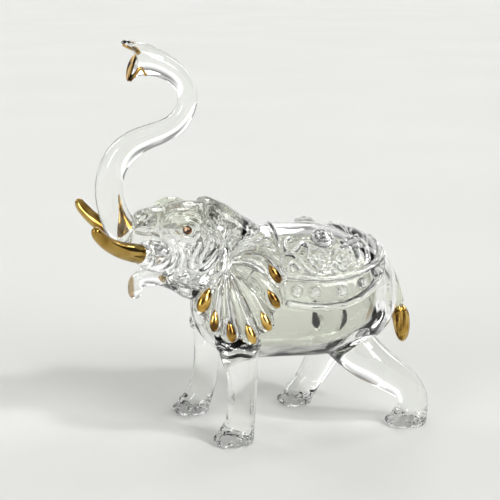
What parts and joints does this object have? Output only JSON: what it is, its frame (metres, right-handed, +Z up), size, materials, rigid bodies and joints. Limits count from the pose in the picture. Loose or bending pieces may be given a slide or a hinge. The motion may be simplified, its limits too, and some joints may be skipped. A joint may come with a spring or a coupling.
{
  "type": "glass elephant figurine",
  "caption": "Standing elephant of clear glass, trunk raised in an S, with gilded tusks, ear drops, trunk lips and tail tuft, and a saddle blanket in relief.",
  "frame": {"origin": "on the surface it stands on, under the middle of its bounding box", "axes": "-X the way the elephant faces, -Y its left side, +Z up"},
  "size_m": [0.184, 0.0864, 0.2098],
  "materials": {
    "clear_glass": "polished",
    "gilding": "polished",
    "eye_crystal": "polished"
  },
  "bodies": {
    "root": {"body": "clear_glass", "head": "clear_glass", "left_ear": "clear_glass", "left_ear_drop_1": "gilding", "left_ear_drop_2": "gilding", "left_ear_drop_3": "gilding", "left_ear_drop_4": "gilding", "left_ear_drop_5": "gilding", "left_ear_drop_6": "gilding", "left_ear_drop_7": "gilding", "left_eye_crystal": "eye_crystal", "left_front_leg": "clear_glass", "left_hind_leg": "clear_glass", "left_tusk": "gilding", "lower_jaw": "clear_glass", "lower_lip_gilding": "gilding", "right_ear": "clear_glass", "right_ear_drop_1": "gilding", "right_ear_drop_2": "gilding", "right_ear_drop_3": "gilding", "right_ear_drop_4": "gilding", "right_ear_drop_5": "gilding", "right_ear_drop_6": "gilding", "right_ear_drop_7": "gilding", "right_eye_crystal": "eye_crystal", "right_front_leg": "clear_glass", "right_hind_leg": "clear_glass", "right_tusk": "gilding", "saddle_blanket": "clear_glass", "tail": "clear_glass", "tail_tuft": "gilding", "trunk": "clear_glass", "trunk_end": "clear_glass", "upper_lip_gilding": "gilding"}
  },
  "joints": []
}
